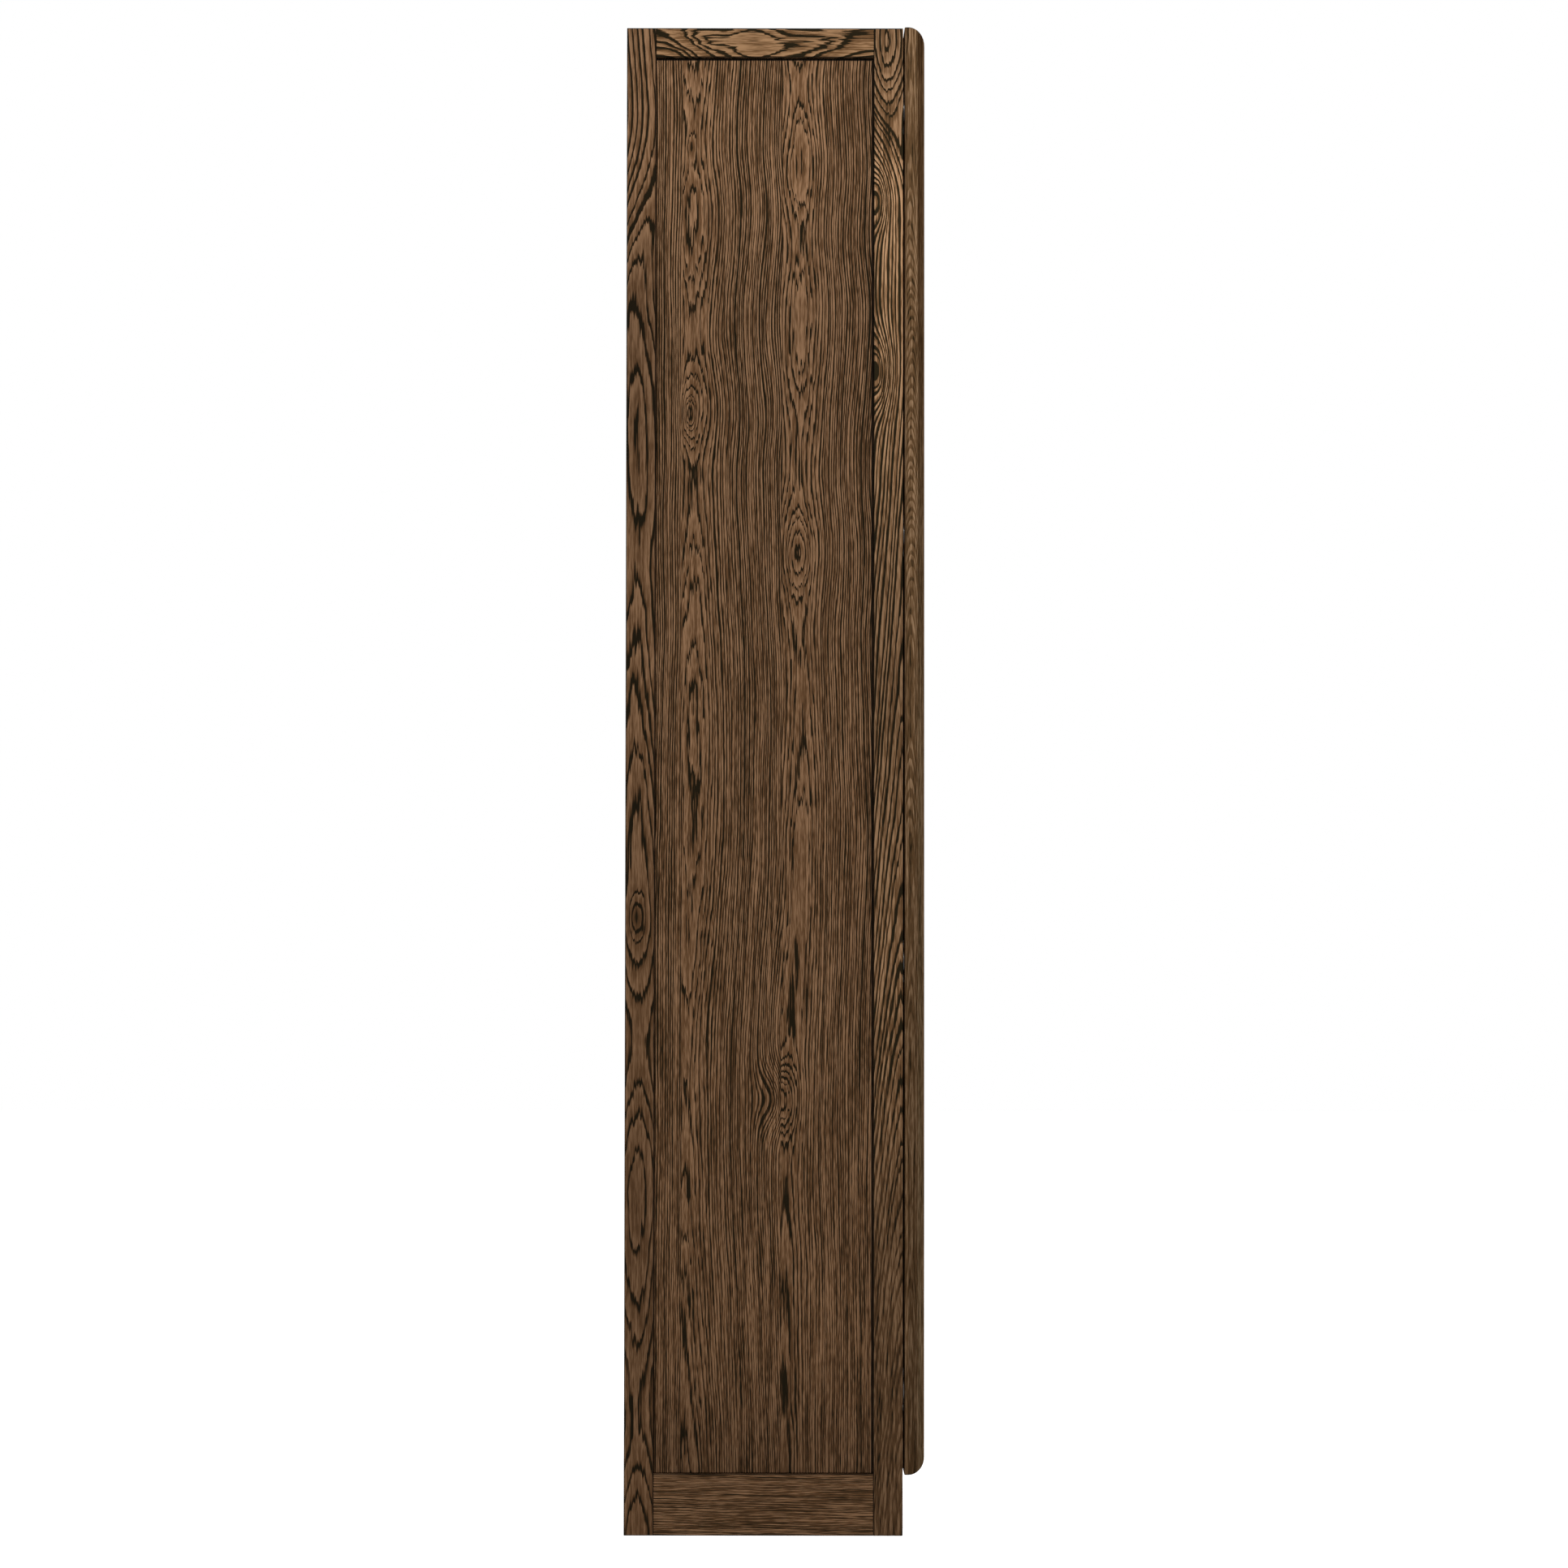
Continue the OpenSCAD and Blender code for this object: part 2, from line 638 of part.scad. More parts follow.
color(steel) mirrored() cup_screws();  // right_cup_screws
color(steel) hinge_arms();
color(steel) hinge_plates();
color(steel) plate_screws();
color(dark_steel) arm_screws();
color("#2b2724") catch_housings();
color(dark_steel) catch_magnets();
color(steel) strike_plates();  // left_strike_plates
color(steel) mirrored() strike_plates();  // right_strike_plates
color(dark_steel) strike_screws();  // strike_screws_left
color(dark_steel) mirrored() strike_screws();  // strike_screws_right
color("#d8d4cc") door_bumpers();
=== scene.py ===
import math
import bpy
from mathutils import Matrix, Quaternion, Vector


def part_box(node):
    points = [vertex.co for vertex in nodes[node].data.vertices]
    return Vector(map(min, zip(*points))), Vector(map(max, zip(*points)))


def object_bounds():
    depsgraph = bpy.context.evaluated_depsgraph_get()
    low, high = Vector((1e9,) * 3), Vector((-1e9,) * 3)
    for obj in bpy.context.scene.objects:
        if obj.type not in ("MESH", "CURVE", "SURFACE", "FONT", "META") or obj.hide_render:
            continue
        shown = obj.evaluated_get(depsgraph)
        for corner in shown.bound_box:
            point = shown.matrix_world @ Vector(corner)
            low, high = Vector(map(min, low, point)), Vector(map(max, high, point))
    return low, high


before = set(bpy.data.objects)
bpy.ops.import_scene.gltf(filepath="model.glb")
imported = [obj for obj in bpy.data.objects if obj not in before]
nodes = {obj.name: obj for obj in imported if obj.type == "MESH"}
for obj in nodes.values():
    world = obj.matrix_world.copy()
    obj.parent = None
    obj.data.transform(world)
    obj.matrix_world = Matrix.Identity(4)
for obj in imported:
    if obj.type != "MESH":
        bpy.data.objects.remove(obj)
cad_low, cad_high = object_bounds()


# Left side frame: two stiles that run from the floor to the top, and two rails between them.
# Solid oak, wire-brushed so that the soft early growth sinks and the hard growth stands up,
# stained dark walnut and sealed matt. Every arris is eased, so each joint shows a fine V.
WALNUT = (0.117, 0.0570, 0.0240)     # the stain on wood of plain height
RIDGE = (0.308, 0.172, 0.090)        # thin stain on the growth that stands proud
CHARRED = (0.0132, 0.0092, 0.0038)   # thick stain in the sunk growth and its pores
POOLED_STAIN_AND_SHADE = (0.0045, 0.0036, 0.0022)    # stain that dried in the joints, darkened further as painted shade
BLACK = (0.0, 0.0, 0.0)
POOL_AND_SHADE_CORE = 0.0005                   # metres from the arris to where that stain and painted shade thin
POOL_AND_SHADE_WIDTH = 0.0016                  # and to where they end
POOL_AND_SHADE_COVER = 0.94
BRUSHED = 0.0004                     # metres that the brush takes off the softest growth
SUNK = 0.08                          # the height at and under which the stain is thickest
PLAIN = 0.52                         # the height of walnut stain
PROUD = 0.98                         # the height at and over which the stain is thinnest
UNBRUSHED = 0.66                     # the height before early growth sinks and late rises
ARRIS = 0.0008                       # metres, the easing of a long arris
YEAR = 0.0036                        # metres, the usual width of one year's growth

# How the wood varies: turns a metre along the grain, over the face and into the board.
HEART_TURNS = (2.5, 0.0, 0.0)
WAVE_TURNS = (4.5, 26.0, 26.0)
RIPPLE_TURNS = (16.0, 420.0, 420.0)
DASH_TURNS = (62.0, 800.0, 800.0)
STREAK_TURNS = (11.0, 360.0, 360.0)
CLOUD_TURNS = (3.5, 26.0, 26.0)
HEART_DRIFT = 0.006                  # metres that the heart wanders to either side
WAVE_YEARS = 1.6                     # years that the waves push the rings by
UNEVEN_YEARS = 1.1                   # years by which fat and lean years differ from even ones
CLOUD_COVER = 0.40

# How a board of a side is cut: the axes along its grain, over its face and into it.
SIDE_UPRIGHT = "ZYX"
SIDE_LYING = "YZX"


class Field:
    """A number that varies over a board, kept so that growth rules can be written as sums."""

    def __init__(self, tree, value):
        self.tree = tree
        self.value = value

    def plug(self, socket, value):
        if isinstance(value, Field):
            value = value.value
        if isinstance(value, bpy.types.NodeSocket):
            self.tree.links.new(value, socket)
        else:
            socket.default_value = value

    def math(self, operation, *others):
        node = self.tree.nodes.new("ShaderNodeMath")
        node.operation = operation
        for socket, value in zip(node.inputs, (self, *others)):
            self.plug(socket, value)
        return Field(self.tree, node.outputs[0])

    def __add__(self, other):
        return self.math("ADD", other)

    def __sub__(self, other):
        return self.math("SUBTRACT", other)

    def __mul__(self, other):
        return self.math("MULTIPLY", other)

    def __truediv__(self, other):
        return self.math("DIVIDE", other)

    def __rsub__(self, other):
        return Field(self.tree, other).math("SUBTRACT", self)

    __radd__ = __add__
    __rmul__ = __mul__

    def rise(self, low, high):
        """0 below low, 1 above high, and a smooth climb between."""
        node = self.tree.nodes.new("ShaderNodeMapRange")
        node.interpolation_type = "SMOOTHSTEP"
        self.plug(node.inputs["Value"], self)
        self.plug(node.inputs["From Min"], low)
        self.plug(node.inputs["From Max"], high)
        return Field(self.tree, node.outputs["Result"])

    def mix(self, first, second):
        """A colour that goes from first to second as this number goes from 0 to 1."""
        node = self.tree.nodes.new("ShaderNodeMix")
        node.data_type = "RGBA"
        self.plug(node.inputs[0], self)
        for socket, colour in ((node.inputs[6], first), (node.inputs[7], second)):
            if isinstance(colour, tuple):
                colour = (*colour, 1.0)
            self.plug(socket, colour)
        return Field(self.tree, node.outputs[2])


def start_material(name):
    """A new material: its node tree and its surface shader."""
    made = bpy.data.materials.new(name)
    made.use_nodes = True
    return made, made.node_tree, made.node_tree.nodes["Principled BSDF"]


def here(tree):
    """The point of the piece that the material colours, in metres from the cabinet's origin."""
    return tree.nodes.new("ShaderNodeTexCoord").outputs["Object"]


def place(tree):
    """Where that point lies, as three fields X, Y and Z."""
    split = tree.nodes.new("ShaderNodeSeparateXYZ")
    tree.links.new(here(tree), split.inputs[0])
    return {axis: Field(tree, split.outputs[axis]) for axis in "XYZ"}


def scatter(tree, point, turns, seed, detail=1.0):
    """Noise from -1 to 1 at a point, with so many turns a metre each way."""
    stretch = tree.nodes.new("ShaderNodeVectorMath")
    stretch.operation = "MULTIPLY_ADD"
    tree.links.new(point, stretch.inputs[0])
    stretch.inputs[1].default_value = turns
    stretch.inputs[2].default_value = (seed, 1.7 * seed, 0.6 * seed)
    noise = tree.nodes.new("ShaderNodeTexNoise")
    noise.inputs["Scale"].default_value = 1.0
    noise.inputs["Detail"].default_value = detail
    tree.links.new(stretch.outputs[0], noise.inputs["Vector"])
    return Field(tree, noise.outputs["Fac"]) * 2.0 - 1.0


def path(along, points):
    """A value that changes smoothly along a board and levels off at each given point."""
    value = Field(along.tree, points[0][1])
    for (start, before), (end, after) in zip(points, points[1:]):
        value = value + along.rise(start, end) * (after - before)
    return value


def relief(tree, shader, height, depth):
    """Lets a height field from 0 to 1 stand up from the surface by so many metres."""
    bump = tree.nodes.new("ShaderNodeBump")
    bump.inputs["Strength"].default_value = 1.0
    bump.inputs["Distance"].default_value = depth
    tree.links.new(height.value, bump.inputs["Height"])
    tree.links.new(bump.outputs["Normal"], shader.inputs["Normal"])


def toned(colour, tone):
    """A colour made lighter or darker, by one tone or by one each for red, green and blue."""
    tones = tone if isinstance(tone, tuple) else (tone, tone, tone)
    return tuple(strength * change for strength, change in zip(colour, tones))


def stave(depth, heart, years, start=None, ring=None, bold=1.0):
    """One stave of a board, as the piece of a tree that it was sawn from.

    depth is how far the heart of the tree lies behind the face, and heart is its path over the
    face. years is the path of the years along the grain: where they climb the figure points
    up, where they fall it points down, and where they turn back it closes to an eye. start is
    the seam where a stave after the first begins, ring the width of its years where that isn't
    the board's, and bold the strength of its figure.
    """
    return {"depth": depth, "heart": heart, "years": years, "start": start, "ring": ring,
            "bold": bold}


def knot(along, over, half_long, half_wide, push=0.0, dark=0.0):
    """A knot: its place and half sizes, the years that it pushes aside, and its dark core."""
    return along, over, half_long, half_wide, push, dark


def outer_face(part, axis):
    """Where the face that shows lies: the top of a lying board, the outer side of the others."""
    low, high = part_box(part)
    index = "XYZ".index(axis)
    if axis != "Z" and low[index] + high[index] < 0:
        return low[index]
    return high[index]


def middle_one(first, second, third):
    """The middle one of three fields."""
    nearer = first.math("MINIMUM", second)
    farther = first.math("MAXIMUM", second)
    return nearer.math("MAXIMUM", farther.math("MINIMUM", third))


class Timber:
    """The wood of one board: where each point of it grew, and how high the brush left it."""

    def __init__(self, tree, part, cut, staves, seed, ring):
        grain, across, into = cut
        self.tree = tree
        self.staves = staves
        self.seed = seed
        self.axis = place(tree)
        self.along = self.axis[grain]
        self.over = self.axis[across]
        self.deep = (self.axis[into] - outer_face(part, into)).math("ABSOLUTE")
        self.number = self.by_stave(list(range(len(staves))))
        self.width = self.by_stave([one["ring"] or ring for one in staves])
        self.bold = self.by_stave([one["bold"] for one in staves])
        self.climb = self.by_stave([path(self.along, one["years"]) for one in staves])
        self.point = self.place_in_tree()
        heart = self.by_stave([path(self.along, one["heart"]) for one in staves])
        sideways = self.over - heart + self.noise(HEART_TURNS, 0.0) * HEART_DRIFT
        inward = self.deep + self.by_stave([one["depth"] for one in staves])
        self.radius = (sideways * sideways + inward * inward).math("SQRT")
        # 1 where the years lie flat in the face, and 0 where they stand on edge.
        self.flat = (inward / self.radius).math("POWER", 2.0)

    def by_stave(self, values):
        """One value for each stave of the board, with a step at each seam."""
        total = Field(self.tree, 0.0) + values[0]
        for one, before, after in zip(self.staves[1:], values, values[1:]):
            total = total + self.over.math("GREATER_THAN", one["start"]) * (after - before)
        return total

    def place_in_tree(self):
        """The point moved by a few metres from stave to stave, so that no two are alike."""
        joined = self.tree.nodes.new("ShaderNodeCombineXYZ")
        moved = (self.along + self.number * 3.1, self.over, self.deep + self.number * 0.7)
        for socket, value in zip(joined.inputs, moved):
            self.tree.links.new(value.value, socket)
        return joined.outputs[0]

    def noise(self, turns, shift, detail=1.0):
        """Noise of this tree; each kind of unevenness shifts the seed by another number."""
        return scatter(self.tree, self.point, turns, self.seed + shift, detail)

    def grown(self, knots, lively):
        """The year that each point grew in, and the dark core of the knots, from 0 to 1.

        The years are rings about the heart, waved, rippled, bent by knots and of uneven width.
        """
        years = self.radius / self.width + self.climb
        years = years + self.noise(WAVE_TURNS, 9.1, 2.0) * (WAVE_YEARS * lively)
        ripple = (self.flat * 0.52 + 0.06) * lively
        years = years + self.noise(RIPPLE_TURNS, 2.7) * ripple
        core = Field(self.tree, 0.0)
        for knot_along, knot_over, half_long, half_wide, push, dark in knots:
            reach = ((self.along - knot_along) / half_long).math("POWER", 2.0)
            reach = reach + ((self.over - knot_over) / half_wide).math("POWER", 2.0)
            years = years + (reach * -1.0).math("EXPONENT") * push
            core = core.math("MAXIMUM", (reach * -6.0).math("EXPONENT") * dark)
        uneven = self.tree.nodes.new("ShaderNodeTexNoise")
        uneven.noise_dimensions = "1D"
        uneven.inputs["Scale"].default_value = 0.6
        uneven.inputs["Detail"].default_value = 2.0
        self.tree.links.new((years + self.seed + self.number * 7.0).value, uneven.inputs["W"])
        return years + Field(self.tree, uneven.outputs["Fac"]) * UNEVEN_YEARS, core

    def brushed(self, years, core, contrast, porous, vigour):
        """The height that the brush leaves, from 0, deep, to 1, proud.

        Early growth and the cores of knots sink, and late growth and stray fibres stand up.
        """
        season = years.math("FRACT")
        early_end = porous[0] + self.flat * (porous[1] - porous[0])
        early = season.rise(0.0, 0.08) * (1.0 - season.rise(early_end - 0.10, early_end + 0.10))
        late = season.rise(0.5, 0.95)
        figure = (late * 0.17 - early * (self.flat * 0.34 + 0.80)) * (
            self.bold * path(self.along, vigour))
        height = UNBRUSHED + figure - core
        dashes = self.noise(DASH_TURNS, 4.4) * ((0.57 - self.flat * 0.20) * contrast)
        streaks = self.noise(STREAK_TURNS, 6.6) * ((0.60 - self.flat * 0.30) * contrast)
        return height + dashes + streaks

    def edges(self, window):
        """How far inside a window each point lies along X, Y and Z, in metres."""
        low, high = window
        return [(self.axis[name] - low[i]).math("MINIMUM", high[i] - self.axis[name])
                for i, name in enumerate("XYZ")]


def stained(height, tone):
    """The stained wood's colour: dark where the brush sank it, pale where it stands up."""
    wood = height.rise(SUNK, PLAIN).mix(toned(CHARRED, tone), toned(WALNUT, tone))
    return height.rise(PLAIN, PROUD).mix(wood, toned(RIDGE, tone))


def oak(part, cut, staves, seed, ring=YEAR, knots=(), tone=1.0, contrast=1.0, lively=1.0,
        porous=(0.46, 0.25), shade=((0.0, 1.0),), vigour=((0.0, 1.0),), veneer=None,
        window=None, shine=0.05):
    """Brushed and stained oak for one board.

    cut names the axes along the grain, over the face and into the board, and seed picks the
    tree. ring is the width of a year. tone makes the stain lighter or darker, contrast the
    fibres and lively the waves of the years stronger. porous is the share of a year that is
    soft early growth, where the years stand on edge and where they lie flat. shade is a path
    along the grain of how far the colour is darkened, mostly towards the floor: partly the
    wood's own tone and partly painted shade. vigour is a path along the grain of the strength
    of the figure. veneer lays a leaf of another stain over the wood, and on a door paints light
    at the foot and shade at the head of a border round the outline. window is the part of the
    board that shows between its joints, whose edges darken with stain that pools there and with
    painted shade. shine is the seal's specular level.
    """
    made, tree, shader = start_material("oak " + part.replace("_", " "))
    timber = Timber(tree, part, cut, staves, seed, ring)
    years, core = timber.grown(knots, lively)
    height = timber.brushed(years, core, contrast, porous, vigour)
    sunk = 1.0 - height.rise(0.0, 0.7)
    edges = timber.edges(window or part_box(part))

    wood = stained(height, tone)
    if veneer:
        wood = veneer(wood, height, timber, edges)
    # The shade path darkens the colour along the grain: partly the wood's own tone, partly painted
    # shade.
    wood = (1.0 - path(timber.along, shade)).mix(wood, BLACK)
    cloudy = timber.noise(CLOUD_TURNS, 8.2, 2.0).rise(0.0, 0.9) * CLOUD_COVER
    wood = cloudy.mix(wood, toned(WALNUT, 0.5))
    # A dark line along every arris and joint: stain that pools there, and painted shade.
    pooled_and_shaded = 1.0 - middle_one(*edges).rise(POOL_AND_SHADE_CORE, POOL_AND_SHADE_WIDTH)
    wood = (pooled_and_shaded * POOL_AND_SHADE_COVER).mix(wood, POOLED_STAIN_AND_SHADE)

    tree.links.new(wood.value, shader.inputs["Base Color"])
    tree.links.new((0.66 + sunk * 0.2).value, shader.inputs["Roughness"])
    shader.inputs["Specular IOR Level"].default_value = shine
    relief(tree, shader, 1.0 - sunk, BRUSHED)
    return made


def arris_finder():
    """Marks the long outer corners of a board, so that only these are eased and no bore is."""
    weld_distance = 0.00001
    least_turn = 1.0
    least_length = 0.012
    group = bpy.data.node_groups.new("long arrises", "GeometryNodeTree")
    group.interface.new_socket("Geometry", in_out="INPUT", socket_type="NodeSocketGeometry")
    group.interface.new_socket("Geometry", in_out="OUTPUT", socket_type="NodeSocketGeometry")
    new = group.nodes.new
    link = group.links.new
    piece = new("NodeGroupInput")
    marked = new("NodeGroupOutput")
    weld = new("GeometryNodeMergeByDistance")
    weld.inputs["Distance"].default_value = weld_distance
    ends = new("GeometryNodeInputMeshEdgeVertices")
    length = new("ShaderNodeVectorMath")
    length.operation = "DISTANCE"
    link(ends.outputs["Position 1"], length.inputs[0])
    link(ends.outputs["Position 2"], length.inputs[1])
    turn = Field(group, new("GeometryNodeInputMeshEdgeAngle").outputs["Signed Angle"])
    outer = turn.math("GREATER_THAN", least_turn)
    long = Field(group, length.outputs["Value"]).math("GREATER_THAN", least_length)
    store = new("GeometryNodeStoreNamedAttribute")
    store.data_type = "FLOAT"
    store.domain = "EDGE"
    store.inputs["Name"].default_value = "bevel_weight_edge"
    link(piece.outputs[0], weld.inputs["Geometry"])
    link(weld.outputs[0], store.inputs["Geometry"])
    link((outer * long).value, store.inputs["Value"])
    link(store.outputs[0], marked.inputs[0])
    return group


LONG_ARRISES = arris_finder()


def ease(part):
    """Rounds the long arrises of a CAD board."""
    nodes[part].modifiers.new("long arrises", "NODES").node_group = LONG_ARRISES
    rounding = nodes[part].modifiers.new("eased", "BEVEL")
    rounding.limit_method = "WEIGHT"
    rounding.width = ARRIS
    rounding.segments = 2
    rounding.use_clamp_overlap = False
    rounding.harden_normals = True


def dress(part, material):
    """Puts one material on every slot of a CAD piece."""
    for spot in nodes[part].material_slots:
        spot.material = material
    if not nodes[part].material_slots:
        nodes[part].data.materials.append(material)


def board(part, cut, staves, seed, **figure):
    """Finishes one oak board: its arrises and its grain."""
    ease(part)
    dress(part, oak(part, cut, staves, seed, **figure))


rear_low, rear_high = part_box("left_rear_stile")
front_low, front_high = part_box("left_front_stile")
rear_middle = (rear_low.y + rear_high.y) / 2
front_middle = (front_low.y + front_high.y) / 2
head_low, head_top = (corner.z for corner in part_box("left_top_rail"))
foot_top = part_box("left_bottom_rail")[1].z
# No stain or painted shade darkens the open gap between a stile and a door, so a window
# reaches past it.
PAST_DOOR_GAP = Vector((0.0, 0.010, 0.0))

# Each shade path below darkens its board height by height, mostly towards the floor: partly the
# wood's own tone, partly painted shade.
board("left_rear_stile", SIDE_UPRIGHT,
      [stave(0.018,
             heart=[(0.0, rear_middle), (1.60, rear_middle + 0.006), (1.90, rear_low.y - 0.018)],
             years=[(0.00, -3.0), (0.16, -0.4), (0.45, -4.0), (0.65, -0.5), (0.81, -3.0),
                    (1.29, 1.6), (1.41, 0.6), (1.85, 5.2), (2.10, 3.5)])],
      seed=3.0, ring=0.0064, lively=0.7, contrast=0.80, porous=(0.30, 0.25),
      vigour=[(0.0, 0.50), (0.9, 0.62), (1.7, 1.0)],
      shade=[(0.0, 0.76), (0.40, 0.68), (0.70, 0.80), (0.85, 0.75), (1.10, 0.84),
             (1.58, 0.65), (1.85, 0.94)],
      knots=[knot(0.815, rear_middle + 0.004, 0.034, 0.013, push=-2.2, dark=0.5),
             knot(0.800, rear_middle - 0.004, 0.016, 0.006, dark=0.6)])
board("left_front_stile", SIDE_UPRIGHT,
      [stave(0.014,
             heart=[(1.20, front_low.y - 0.004), (1.50, front_low.y - 0.022),
                    (1.76, front_low.y - 0.022), (1.92, front_middle)],
             years=[(-0.60, -6.0), (1.40, 29.0), (1.84, 30.0), (1.985, 24.0), (2.1, 27.0)])],
      seed=11.0, ring=0.0050, tone=(1.64, 1.70, 1.70), lively=0.6, contrast=1.1,
      porous=(0.52, 0.25), vigour=[(0.0, 0.20), (0.9, 0.75), (1.6, 1.15)],
      shade=[(0.0, 0.37), (0.35, 0.41), (0.70, 0.70), (1.15, 0.52), (1.60, 0.87),
             (1.75, 1.0), (1.95, 0.62)],
      knots=[knot(1.865, front_middle + 0.001, 0.090, 0.014, dark=0.6),
             knot(1.770, front_high.y - 0.006, 0.040, 0.013, push=4.0, dark=0.3),
             knot(1.540, front_high.y - 0.008, 0.050, 0.017, push=6.0, dark=0.5)],
      window=(front_low - PAST_DOOR_GAP, front_high))
board("left_top_rail", SIDE_LYING,
      [stave(0.016,
             heart=[(-0.12, head_top - 0.006), (-0.02, head_top - 0.019),
                    (0.06, head_top - 0.019), (0.15, head_top + 0.008)],
             years=[(-0.14, 3.6), (-0.02, 2.15), (0.030, 1.05), (0.075, 2.1), (0.16, 4.6)])],
      seed=17.3, ring=0.0090, tone=(1.10, 1.12, 1.06), porous=(0.40, 0.40))
board("left_bottom_rail", SIDE_LYING,
      [stave(0.030, heart=[(0, foot_top + 0.090)], years=[(-0.2, 0), (0.2, 3)])],
      seed=23.0, ring=0.0021, lively=0.6, vigour=[(0.0, 0.7)])


# Left side panel: three leaves of brushed oak glued edge to edge, held in a groove round the
# frame, so that the wood is free to move. The dark band round the panel is wider along the front
# stile and the top rail than along the rear stile: stain in the groove, with the frame's shadow
# painted on the panel.
seam_front = front_high.y + 0.122
seam_rear = rear_low.y - 0.036
panel_low, panel_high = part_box("left_side_panel")
# The window starts a little inside the panel at the front stile and the top rail, and past it at
# the rear stile, so that the painted shadow is wide at the front and top and faint at the rear.
panel_shadow_window = (Vector((panel_low.x, front_high.y + 0.0018, foot_top)),
           Vector((panel_high.x, rear_low.y + 0.0018, head_low - 0.0029)))
# Its shade path darkens it height by height, mostly towards the floor: partly the wood's own tone,
# partly painted shade.
board("left_side_panel", SIDE_UPRIGHT,
      [stave(0.024,
             heart=[(0.30, seam_front - 0.004), (1.00, seam_front - 0.024)],
             years=[(0.0, -5.0), (0.90, 0.0), (1.18, 2.2), (1.30, 0.3), (1.42, 2.4), (1.62, -0.4),
                    (1.72, 1.2), (1.81, -0.2), (1.92, 1.4), (2.0, 0.0)]),
       stave(0.028,
             heart=[(0.50, seam_rear - 0.004), (1.10, seam_rear - 0.014)],
             years=[(0.0, -4.0), (0.60, 1.5), (1.05, -1.5), (1.40, 2.8), (1.485, 1.2), (1.60, 3.4),
                    (1.75, 0.6), (1.842, 2.4), (2.0, 0.0)],
             start=seam_front),
       stave(0.040, heart=[(0, seam_rear - 0.075)], years=[(0, 0), (2, 3)], start=seam_rear)],
      seed=29.0, ring=0.0029, contrast=1.2,
      vigour=[(0.1, 0.55), (0.9, 0.80), (1.6, 1.15)],
      shade=[(0.09, 0.64), (0.25, 0.85), (0.60, 0.90), (0.95, 0.88), (1.30, 0.88),
             (1.58, 0.84), (1.85, 1.0)],
      knots=[knot(1.842, seam_rear - 0.011, 0.016, 0.005, push=-1.5, dark=0.3),
             knot(1.485, seam_rear - 0.009, 0.030, 0.010, push=-3.5),
             knot(0.575, seam_front + 0.006, 0.045, 0.026, push=-7.0, dark=0.2),
             knot(1.300, seam_front - 0.024, 0.035, 0.014, push=-2.5)],
      window=panel_shadow_window)


# Right side frame and panel: the same solid stiles, rails and glued-up panel as on the left,
# joined and stained in the same way, but sawn from other parts of the tree.
board("right_rear_stile", SIDE_UPRIGHT,
      [stave(0.018,
             heart=[(0.0, rear_middle - 0.004), (2.0, rear_middle + 0.004)],
             years=[(-0.1, 0.0), (0.50, 7.0), (0.62, 5.0), (1.20, 11.0), (1.45, 8.0),
                    (2.1, 15.0)])],
      seed=43.0, ring=0.0042)
board("right_front_stile", SIDE_UPRIGHT,
      [stave(0.020,
             heart=[(0.0, front_middle + 0.012), (2.0, front_low.y - 0.006)],
             years=[(-0.3, 0.0), (2.3, -34.0)])],
      seed=47.0, ring=0.0040, tone=1.08,
      knots=[knot(1.020, front_middle + 0.006, 0.030, 0.012, push=4.0, dark=0.9)])
board("right_top_rail", SIDE_LYING,
      [stave(0.014,
             heart=[(0, head_top - 0.022)],
             years=[(-0.15, 3.0), (-0.03, 0.0), (0.08, 3.5), (0.16, 1.0)])],
      seed=51.0, ring=0.0048, tone=1.05)
board("right_bottom_rail", SIDE_LYING,
      [stave(0.030, heart=[(0, foot_top - 0.150)], years=[(-0.2, 0), (0.2, -2)])],
      seed=57.0, ring=0.0030, tone=1.05, lively=0.6)
board("right_side_panel", SIDE_UPRIGHT,
      [stave(0.024,
             heart=[(0.2, seam_front - 0.060), (1.8, seam_front - 0.040)],
             years=[(0.0, 4.0), (0.55, -2.0), (0.95, 3.0), (1.12, 0.0), (1.5, 5.0), (2.0, 1.0)]),
       stave(0.026,
             heart=[(0.2, seam_rear - 0.055), (1.8, seam_rear - 0.030)],
             years=[(0.0, 0.0), (0.80, 8.0), (1.10, 6.0), (2.0, 14.0)],
             start=seam_front),
       stave(0.040, heart=[(0, seam_rear - 0.065)], years=[(0, 0), (2, 3)], start=seam_rear)],
      seed=61.0,
      knots=[knot(1.120, seam_front - 0.046, 0.030, 0.012, push=-2.5, dark=0.3)])


# Boards across the case: the top, the bottom and the fixed middle shelf tie the two sides
# together, and four loose shelves lie between them. Each is glued up from oak staves that run
# from side to side.
BOARD_LYING = "XYZ"
SHELF_STAVE = 0.095


def lying_staves(part, width, turn):
    """Staves of a lying board from front to back, with their hearts to one side and the other."""
    low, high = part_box(part)
    count = max(1, round((high.y - low.y) / width))
    step = (high.y - low.y) / count
    return [stave(0.024 + 0.006 * math.cos(turn + i),
                  heart=[(0, low.y + (i + 0.5 + 0.9 * math.sin(turn + 2.3 * i)) * step)],
                  years=[(low.x, 0.0), (low.x * 0.3, 4.0 * math.sin(turn + i)),
                         (high.x, 6.0 * math.cos(i))],
                  start=low.y + i * step)
            for i in range(count)]


for turn, part in enumerate(["top_board", "bottom_board", "fixed_shelf", "shelf_1", "shelf_2",
                             "shelf_3", "shelf_4"]):
    board(part, BOARD_LYING, lying_staves(part, SHELF_STAVE, turn), seed=71.0 + 3 * turn,
          tone=1.05)


